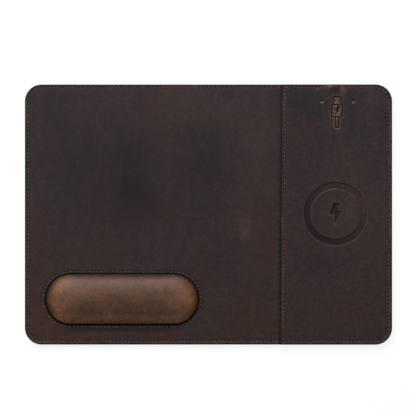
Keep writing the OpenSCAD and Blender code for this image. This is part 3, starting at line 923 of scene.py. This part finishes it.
def circuit_green():
    """Solder mask over copper tracks."""
    s = Shader("solder_mask")
    tracks = s.add("ShaderNodeTexBrick", "Fac", Vector=s.place, Scale=1 / (4.2 * MM), Mortar__Size=0.035,
                   Brick__Width=0.9, Row__Height=0.35, _offset=0.35)
    cloud = s.noise(3, 3, 0.5)
    mask = s.mix(s.span(cloud, 0.3, 0.7), (0.006, 0.07, 0.03), (0.009, 0.09, 0.04))
    colour = s.mix(tracks, mask, (0.02, 0.17, 0.08))
    return s.finish(colour, s.span(cloud, 0.3, 0.7, 0.25, 0.35), s.bump(tracks, 0.04, 0.8))


def litz():
    """Bundled strands of enamelled copper wire."""
    s = Shader("copper_litz")
    away = s.add("ShaderNodeMapping", Vector=s.place, Location=(-COIL[0] * MM, -COIL[1] * MM, 0))
    strands = s.add("ShaderNodeTexWave", "Fac", Vector=away, Scale=1 / (1.2 * MM) / 2, Distortion=1.2,
                    Detail=3.0, _wave_type="RINGS", _rings_direction="Z")
    fine = s.noise(0.25, 3, 0.6)
    colour = s.mix(s.span(fine, 0.3, 0.7), (0.5, 0.18, 0.07), (0.32, 0.1, 0.04))
    colour = s.mix(s.math("MULTIPLY", strands, 0.35), colour, (0.62, 0.26, 0.11))
    return s.finish(colour, s.span(fine, 0.3, 0.7, 0.28, 0.45), s.bump(strands, 0.15, 0.8), Metallic=1.0)


def fibre_board():
    """Bonded leather-fibre board."""
    s = Shader("fibre_board")
    fibres = s.noise(1.6, 5, 0.65, stretch=(1, 1, 4))
    clumps = s.noise(6, 4, 0.6, seed=0.4)
    colour = s.mix(s.span(clumps, 0.35, 0.65), (0.12, 0.075, 0.045), (0.2, 0.135, 0.085))
    shade = s.span(fibres, 0.25, 0.75, 0.7, 1.25)
    colour = s.shaded(colour, shade)
    return s.finish(colour, s.span(fibres, 0.2, 0.8, 0.8, 0.95), s.bump(fibres, 0.15, 0.8),
                    gloss=0.2)


def foam():
    """Open-cell foam."""
    s = Shader("foam")
    cells = s.cells(0.9)
    blots = s.noise(9, 3, 0.5)
    colour = s.mix(s.span(blots, 0.35, 0.65), (0.55, 0.5, 0.38), (0.62, 0.57, 0.45))
    colour = s.mix(s.span(cells, 0.1, 0.6), colour, (0.4, 0.35, 0.26))
    return s.finish(colour, s.span(cells, 0, 0.7, 0.85, 0.98), s.bump(cells, 0.3, 0.9),
                    gloss=0.1)


def smoked_acrylic():
    """Moulded smoked acrylic, slightly hazed."""
    s = Shader("smoked_acrylic")
    haze = s.noise(0.8, 3, 0.5)
    colour = s.mix(haze, (0.012, 0.012, 0.014), (0.03, 0.03, 0.034))
    return s.finish(colour, s.span(haze, 0.3, 0.7, 0.3, 0.45), s.bump(haze, 0.02, 0.4),
                    Transmission__Weight=0.3, IOR=1.49, gloss=0.2)


DARK_LEATHER = pull_up_leather("dark_leather", cool=(0.0138, 0.0102, 0.0112), plain=(0.0206, 0.0124, 0.0122),
                               warm=(0.0250, 0.0115, 0.0078), tan=(0.21, 0.125, 0.075), roughness=0.62,
                               ior_level=0.14)
WRIST_LEATHER = pull_up_leather("wrist_leather", cool=(0.050, 0.026, 0.016), plain=(0.074, 0.034, 0.019),
                                warm=(0.130, 0.054, 0.020), tan=(0.24, 0.11, 0.05), roughness=0.46,
                                ior_level=0.2, grain=0.8, drifting=0.5, brushed=1.4)
EDGE_PAINT = edge_paint()
THREAD = thread("thread", (0.024, 0.015, 0.012), (0.072, 0.045, 0.033))
SUEDE = suede()
BOARD = fibre_board()
FOAM = foam()
CASE_PLASTIC = moulded("case_plastic", (0.012, 0.012, 0.013), 0.5)
CHIP_EPOXY = moulded("chip_epoxy", (0.018, 0.018, 0.02), 0.55, pitch=0.15)
CHIP_CERAMIC = moulded("chip_ceramic", (0.3, 0.2, 0.12), 0.4, pitch=0.2)
FERRITE = moulded("ferrite", (0.03, 0.03, 0.033), 0.6, pitch=0.5)
CARD = moulded("insulating_card", (0.55, 0.5, 0.38), 0.8, pitch=0.8, depth=0.05)
WIRE = moulded("wire_insulation", (0.35, 0.02, 0.015), 0.4, pitch=0.6)
LED_BODY = moulded("led_body", (0.75, 0.72, 0.6), 0.3, pitch=0.3)
STEEL = metal("steel_shell", (0.62, 0.61, 0.6), 0.26)
GOLD = metal("gold_contact", (0.83, 0.6, 0.25), 0.2)
COPPER = litz()
SOLDER_MASK = circuit_green()
ACRYLIC = smoked_acrylic()


# ---- leather panels

EDGE_INSETS = (0, 0.08, 0.22, 0.42, 0.75, 1.0, 1.4, 1.9, 2.4)
PAINTED = 1.0
PAINTED_AT_SEAM = 0.42
PAINTED_AT_REST = 0.22


def all_painted(p):
    return np.ones(len(p), int)


def keep_charge(p):
    holes = [np.hypot(p[:, 0] - x, p[:, 1] - LIGHTS_Y) > LIGHT_HOLE_R - 0.02 for x in LIGHTS_X]
    return (d_mat(p) < 0.02) & (d_seam(p) > -0.02) & holes[0] & holes[1]


def charge_loops():
    loops = outline_loops(charge_outline, EDGE_INSETS, 1.1) + row_loops("charge", True)
    for r in (-1.0, -0.45, -0.22, 0.0, 0.12, 0.5, 1.4):
        loops.append((circle(COIL, RING_OUTER_R + r), True))
        loops.append((circle(COIL, RING_INNER_R - r), True))
    for by in (-0.45, -0.2, 0.0, 0.12, 0.5):
        loops.append((divided(grown(np.array(BOLT) + COIL, by), 0.7), True))
    for front, width, length in (STEM, GRIP, HEAD):
        for by in (1.0, 0.4, 0.15, 0, -0.3, 0.3 - ICON_LINE, -ICON_LINE, -ICON_LINE - 0.15):
            outline = grown(box_outline(ICON_X, front + length / 2, width, length), by)
            loops.append((divided(outline, 0.6), True))
    for outline in [SMALL_BOLT, *CONTACT_MARKS]:
        loops.append((divided(outline, 0.5), True))
        loops.append((divided(grown(outline, 0.15), 0.5), True))
    for x in LIGHTS_X:
        for r in (0, 0.3, 0.8, 1.3):
            loops.append((circle((x, LIGHTS_Y), LIGHT_HOLE_R + r, 0.35), True))
    return loops


def charge_face_slot(p):
    """Slot 1 where the edge paint laps on to the face; there is none over the port."""
    outer = (-d_mat(p) < PAINTED) & (port_bulge(p) < 0.35)
    return (outer | (d_seam(p) < PAINTED_AT_SEAM)).astype(int)


def charge_wall_slot(p):
    outer = np.minimum(np.abs(d_mat(p)), np.abs(d_seam(p))) < 0.5
    return np.where(outer & (port_bulge(p) < 0.5), 1, 0)


charge_leather = layer("charge_panel_leather", charge_loops(), keep_charge, charge_height, CHARGE_BOTTOM,
                       [DARK_LEATHER, EDGE_PAINT], face_slot=charge_face_slot, wall_slot=charge_wall_slot,
                       marks=charge_marks)
stand_for(charge_leather, "charge_panel")


def keep_mouse(p):
    return (d_mat(p) < 0.02) & (d_seam(p) < SEAM_LAP - 0.08) & (d_rest(p) > OPENING_R - 0.02)


def mouse_loops():
    loops = outline_loops(mouse_outline, EDGE_INSETS, 1.1) + row_loops("mouse", False)
    for by in (-0.55, 0, 0.55, 1.2):
        loops.append((divided(stadium(OPENING_R + REST_STITCH_GAP + by), 0.7), True))
    for by in (0, 0.08, 0.22, 0.45, 0.78, 4.6):
        loops.append((divided(stadium(OPENING_R + by), 1.0), True))
    return loops


def mouse_face_slot(p):
    """Slot 1 where the edge paint laps on to the face."""
    return ((-d_mat(p) < PAINTED) | (d_rest(p) - OPENING_R < PAINTED_AT_REST)).astype(int)


mouse_leather = layer("mouse_panel_leather", mouse_loops(), keep_mouse, mouse_height, MOUSE_BOTTOM,
                      [DARK_LEATHER, EDGE_PAINT], face_slot=mouse_face_slot, wall_slot=all_painted,
                      marks=mouse_marks)
stand_for(mouse_leather, "mouse_panel")


# ---- underside


def base_loops():
    loops = outline_loops(mat_outline, (0, 0.1, 0.3), 1.2)
    for name in ROUTES:
        closed = name != "mouse"
        for by in (-0.85, -0.22, 0.22, 0.85):
            loops.append((divided(offset_route(ROUTES[name], by, closed), 1.0, closed), closed))
    return loops


base = layer("base_suede", base_loops(), lambda p: d_mat(p) < 0.02, base_height, BASE_HIGH[2],
             [SUEDE, EDGE_PAINT], up=-1, spacing=9, clear=1.5,
             wall_slot=all_painted)
stand_for(base, "base_sheet")


# ---- threads

PLIES = 3
SIDES = 12
RINGS = 15
PLY_TURN_MM = 2.4
STITCH_PLUNGE = 1.0
STITCH_SHARE = 0.86


def stitch_tube(spot, heading, z, up, rng):
    """One stitch: a twisted thread that comes out of one needle hole and goes into the next."""
    span = STITCH_PITCH * STITCH_SHARE
    slant = math.radians(rng.normal(5, 1.2)) * up
    ahead = np.array([heading[0] * math.cos(slant) - heading[1] * math.sin(slant),
                      heading[0] * math.sin(slant) + heading[1] * math.cos(slant)])
    side = np.array([-ahead[1], ahead[0]])
    twist = rng.uniform(0, math.tau)
    t = np.linspace(-1, 1, RINGS)
    along = t * span / 2
    rise = THREAD_R * 0.4 - STITCH_PLUNGE * t ** 4
    points = []
    for k in range(RINGS):
        slope = math.atan2(-4 * STITCH_PLUNGE * t[k] ** 3, span / 2)
        for j in range(SIDES):
            angle = math.tau * j / SIDES
            turn = twist + math.tau * along[k] / PLY_TURN_MM / PLIES * 1.5
            lobe = abs(math.cos(PLIES / 2 * (angle - turn)))
            r = THREAD_R * (0.84 + 0.18 * lobe)
            across, lift = r * math.cos(angle), r * math.sin(angle)
            xy = spot + ahead * (along[k] - lift * math.sin(slope)) + side * across
            points.append([xy[0], xy[1], z + up * (rise[k] + lift * math.cos(slope))])
    faces = tube_faces(RINGS, SIDES)
    if up > 0:
        faces = [face[::-1] for face in faces]
    return points, faces


def sew(name, row, face_z, node, seed):
    """The upper and lower threads of a row, in one piece."""
    rng = np.random.default_rng(seed)
    points, faces = [], []
    for z, up in ((face_z, 1), (BASE_LOW[2] + 0.5, -1)):
        for spot, heading in SPOTS[row]:
            more, more_faces = stitch_tube(spot, heading, z, up, rng)
            faces += [[i + len(points) for i in face] for face in more_faces]
            points += more
    piece = make_object(name, points, faces, [THREAD])
    stand_for(piece, node)


sew("mouse_panel_thread", "mouse", MOUSE_TOP - 0.1, "mouse_panel_stitching", 11)
sew("charge_panel_thread", "charge", CHARGE_TOP - 0.1, "charge_panel_stitching", 12)
sew("wrist_rest_thread", "rest", MOUSE_TOP + 0.2, "wrist_rest_stitching", 13)


# ---- wrist cushion


CROWN_POWER = 0.92
FOOT_GAP = 0.6
SQUEEZE = 0.35


def lofted_cushion():
    """The cushion's closed form before it is filled: a stadium with a crowned top.

    It starts a little wide and deep, because smoothing draws its corners in.
    """
    r = CUSHION_R + 0.7
    sections = 9
    outline = np.concatenate([arc(REST_HALF, 0, 1, -90, 90, 0.12), arc(-REST_HALF, 0, 1, 90, 270, 0.12)])
    spine = np.clip(outline[:, 0], -REST_HALF, REST_HALF)
    rays = np.column_stack([outline[:, 0] - spine, outline[:, 1]])
    levels = [(r, REST_FOOT - 0.8), (r, MOUSE_TOP)]
    rise = REST_CROWN - 0.3 - MOUSE_TOP
    for i in range(1, sections + 1):
        a = math.radians(90 * i / sections)
        levels.append((r * math.cos(a) ** CROWN_POWER, MOUSE_TOP + rise * math.sin(a) ** CROWN_POWER))
    points = []
    for radius, z in levels:
        points += [[REST[0] + s + radius * ray[0], REST[1] + radius * ray[1], z]
                   for s, ray in zip(spine, rays)]
    return points, tube_faces(len(levels), len(outline))


def apply_modifiers(piece):
    """The piece's mesh with its modifiers worked in."""
    graph = bpy.context.evaluated_depsgraph_get()
    graph.update()
    made = bpy.data.meshes.new_from_object(piece.evaluated_get(graph))
    piece.modifiers.clear()
    piece.data = made


def coordinates(mesh):
    co = np.empty(len(mesh.vertices) * 3, np.float32)
    mesh.vertices.foreach_get("co", co)
    return co.reshape(-1, 3).astype(float)


def filled_cushion():
    """The wrist rest's leather skin, blown up against its sewn foot by a cloth simulation."""
    points, faces = lofted_cushion()
    piece = make_object("wrist_cushion", points, faces, [WRIST_LEATHER])
    remesh = piece.modifiers.new("voxels", "REMESH")
    remesh.mode = "VOXEL"
    remesh.voxel_size = 2.4 * MM
    apply_modifiers(piece)
    start = coordinates(piece.data)
    foot = piece.vertex_groups.new(name="foot")
    foot.add([i for i, p in enumerate(start) if p[2] < (MOUSE_BOTTOM + 0.6) * MM], 1.0, "REPLACE")
    cloth = piece.modifiers.new("cloth", "CLOTH")
    cloth.settings.vertex_group_mass = "foot"
    cloth.settings.use_pressure = True
    cloth.settings.uniform_pressure_force = 4
    cloth.settings.effector_weights.gravity = 0
    cloth.settings.tension_stiffness = 25
    cloth.settings.compression_stiffness = 25
    cloth.settings.bending_stiffness = 0.6
    scene = bpy.context.scene
    for step in range(1, 21):
        scene.frame_set(step)
    apply_modifiers(piece)
    moved = coordinates(piece.data)
    scene.frame_set(1)
    away = moved - start
    size = np.linalg.norm(away, axis=1)
    cap = 2.0 * MM
    away *= np.minimum(1, cap / np.maximum(size, 1e-9))[:, None]
    shaped = start + away
    piece.data.vertices.foreach_set("co", shaped.astype(np.float32).ravel())
    smooth = piece.modifiers.new("round", "SUBSURF")
    smooth.levels = smooth.render_levels = 2
    apply_modifiers(piece)
    settle(piece.data)
    return piece


def settle(mesh):
    """Keeps the cushion inside its opening, adds soft creases at its shoulder, and marks its colours, with
    painted shade at its foot and round its edge and a painted highlight towards its rear.
    """
    co = coordinates(mesh) / MM
    plan = d_rest(co[:, :2])
    limit = CUSHION_R + 0.5 * ramp(MOUSE_TOP - 1, MOUSE_TOP + 1.5, co[:, 2])
    spine = np.column_stack([np.clip(co[:, 0], REST[0] - REST_HALF, REST[0] + REST_HALF),
                             np.full(len(co), REST[1])])
    ray = co[:, :2] - spine
    soft = limit - SQUEEZE * np.log1p(np.exp((limit - plan) / SQUEEZE))
    target = np.where(plan > limit - 4 * SQUEEZE, soft, plan)
    co[:, :2] = spine + ray * (target / np.maximum(plan, 1e-6))[:, None]
    angle = np.arctan2(ray[:, 1], ray[:, 0])
    around = co[:, 0] * 0.35 + angle * 9
    crease = np.array([noise.noise(Vector((a / 2.6, z / 6, 0.5))) for a, z in zip(around, co[:, 2])])
    shoulder = ramp(0.78, 0.97, plan / CUSHION_R) * ramp(MOUSE_TOP - 1, MOUSE_TOP + 2.5, co[:, 2])
    co[:, 2] += 0.12 * crease * shoulder
    co[:, 2] += 0.28 * swell(co[:, :2], 24, 2.2) * ramp(MOUSE_TOP + 1, REST_CROWN - 1, co[:, 2])
    co[:, 2] = np.maximum(co[:, 2], REST_FOOT)
    mesh.vertices.foreach_set("co", (co * MM).astype(np.float32).ravel())
    mesh.polygons.foreach_set("use_smooth", [True] * len(mesh.polygons))
    along = (co[:, 0] - REST[0]) / (REST_HALF + CUSHION_R)
    end = ramp(0.45, 1.0, np.abs(along))
    left = ramp(0.3, 1.0, -along)
    # Painted shade: the cushion's foot, down in the gap below the panel's face, goes near black.
    depth = 1 - ramp(MOUSE_TOP - 0.6, MOUSE_TOP + 1.6, co[:, 2])
    rear = np.clip((co[:, 1] - REST[1]) / CUSHION_R, -1, 1)
    front_edge = ramp(0.5, 0.85, -rear)
    right = ramp(0.5, 1.0, along)
    # Painted shade round the cushion's edge by the gap, less at the front edge and more at the left end.
    rim = ramp(0.62, 1.02, plan / CUSHION_R) * (1 - 0.8 * front_edge)
    rim += 0.5 * ramp(0.5, 1.0, plan / CUSHION_R) * ramp(0.8, 1.0, -along)
    write_marks(mesh, {
        "burnt": np.clip(0.97 * depth + 0.6 * rim, 0, 1),
        "rubbed": np.clip(0.07 * left, 0, 1),
        # Painted highlight: lighter towards the rear, where the light falls; also lighter at the right end
        # and along the front edge, with patches.
        "tone": np.clip(0.5 + 0.07 * swell(co[:, :2], 14, 8.8) + 0.12 * rear - 0.05 * (1 - end) + 0.1 * right
                        + 0.2 * front_edge + patches(co[:, :2], CUSHION_TONES, 20, 5.7), 0, 1),
        "warmth": np.clip(0.46 + 0.34 * left + 0.24 * right + 0.2 * swell(co[:, :2], 18, 3.9), 0, 1),
    })


def flange_height(p):
    """The flange lies flat and turns up where the cushion rises from it."""
    return COVER_T + 1.1 * hump(d_rest(p), CUSHION_R, 0.7)


def keep_flange(p):
    return (d_rest(p) > CUSHION_R - FOOT_GAP) & (d_rest(p) < FLANGE_R)


# Painted shade: the flange shows only in the gap round the cushion, so its leather is darkened near black.
def gap_shade_marks(p):
    full = np.ones(len(p))
    return {"burnt": 0.9 * full, "rubbed": 0 * full, "tone": 0.5 * full, "warmth": 0.5 * full}


cushion = filled_cushion()
stand_for(cushion, "wrist_cover")

FLANGE_STEPS = (-FOOT_GAP, 0, 0.5, 1.1, 2, FLANGE_R - CUSHION_R)
flange = layer("wrist_cushion_flange", [(stadium(CUSHION_R + by), True) for by in FLANGE_STEPS], keep_flange,
               flange_height, REST_FOOT, [WRIST_LEATHER], spacing=4, marks=gap_shade_marks)
stand_for(flange, "wrist_cover")


# ---- carried-over CAD nodes

FINISHES = (
    (BOARD, "core_board riser_board wrist_plate"), (FOAM, "wrist_foam"), (SOLDER_MASK, "circuit_board"),
    (CASE_PLASTIC, "electronics_tray electronics_lid usb_tongue coil_carrier"), (STEEL, "usb_shell"),
    (GOLD, "usb_contacts"), (CHIP_EPOXY, "controller_chip driver_chips thermistor"),
    (CHIP_CERAMIC, "resonant_capacitors input_capacitors passives"), (LED_BODY, "status_leds"),
    (ACRYLIC, "light_pipes"), (FERRITE, "ferrite_disc"), (COPPER, "charging_coil"), (CARD, "coil_cover"),
    (WIRE, "coil_leads sensor_leads"),
)
for material, node_names in FINISHES:
    for node_name in node_names.split():
        node_mesh = NODES[node_name].data
        node_mesh.materials.clear()
        node_mesh.materials.append(material)


def paint_cut_edges(node_name):
    """Edge paint on a board's cut edges, with softened corners in the same paint."""
    board = NODES[node_name]
    board.data.materials.append(EDGE_PAINT)
    for face in board.data.polygons:
        face.material_index = int(abs(face.normal.z) < 0.5)
    bevel = board.modifiers.new("soft_edges", "BEVEL")
    bevel.width = 0.35 * MM
    bevel.segments = 3
    bevel.limit_method = "ANGLE"
    bevel.angle_limit = math.radians(50)
    bevel.use_clamp_overlap = True
    bevel.material = 1


paint_cut_edges("core_board")
paint_cut_edges("riser_board")

# ---- floor, light and camera

FLOOR_SIZE = 6.0
FLOOR_GREY = (0.12, 0.12, 0.12)
TABLE_GLOW = 0.865
COOL_WHITE = (0.985, 0.99, 1, 1)
SKY = (0.95, 0.97, 1.0, 1)
SKY_STRENGTH = 0.36
KEY_PLACE = (-0.45, 1.25, 1.45)
KEY_SIZE = (1.7, 1.3)
KEY_WATTS = 62
KEY_COLOUR = (1.0, 0.985, 0.96)


def white_floor():
    """A plain white light table under the mat."""
    s = Shader("floor_white")
    s.finish(FLOOR_GREY, 0.9, gloss=0.0, Emission__Color=COOL_WHITE,
             Emission__Strength=TABLE_GLOW)
    side = FLOOR_SIZE / MM
    corners = np.column_stack([box_outline(0, 0, side, side), np.full(4, -0.05)])
    floor = make_object("floor", corners, [[0, 1, 2, 3]], [s.material])


def key_light():
    light = bpy.data.lights.new("key", "AREA")
    light.shape = "RECTANGLE"
    light.size, light.size_y = KEY_SIZE
    light.energy = KEY_WATTS
    light.color = KEY_COLOUR
    lamp = bpy.data.objects.new("key", light)
    lamp.location = KEY_PLACE
    lamp.rotation_euler = (-Vector(KEY_PLACE)).to_track_quat("-Z", "Y").to_euler()
    bpy.context.scene.collection.objects.link(lamp)


def white_to_the_eye(tree, background):
    """The studio's far walls look white, though they light the mat only dimly."""
    walls = tree.nodes.new("ShaderNodeBackground")
    walls.inputs["Color"].default_value = COOL_WHITE
    rays = tree.nodes.new("ShaderNodeLightPath")
    mixed = tree.nodes.new("ShaderNodeMixShader")
    tree.links.new(rays.outputs["Is Camera Ray"], mixed.inputs["Fac"])
    tree.links.new(background.outputs["Background"], mixed.inputs[1])
    tree.links.new(walls.outputs["Background"], mixed.inputs[2])
    tree.links.new(mixed.outputs["Shader"], tree.nodes["World Output"].inputs["Surface"])


def studio():
    scene = bpy.context.scene
    world = bpy.data.worlds.new("studio")
    world.use_nodes = True
    background = world.node_tree.nodes["Background"]
    background.inputs["Color"].default_value = SKY
    background.inputs["Strength"].default_value = SKY_STRENGTH
    white_to_the_eye(world.node_tree, background)
    scene.world = world
    key_light()
    scene.view_settings.view_transform = "Standard"


AIM = Vector((-0.4, 6.25, 6.0)) * MM
FIELD_WIDTH = 0.3965
CAMERA_HEIGHT = 1.9


def camera():
    lens = bpy.data.cameras.new("camera")
    lens.lens = lens.sensor_width * (CAMERA_HEIGHT - AIM.z) / FIELD_WIDTH
    eye = bpy.data.objects.new("camera", lens)
    eye.location = (AIM.x, AIM.y, CAMERA_HEIGHT)
    bpy.context.scene.collection.objects.link(eye)
    bpy.context.scene.camera = eye


white_floor()
studio()
camera()
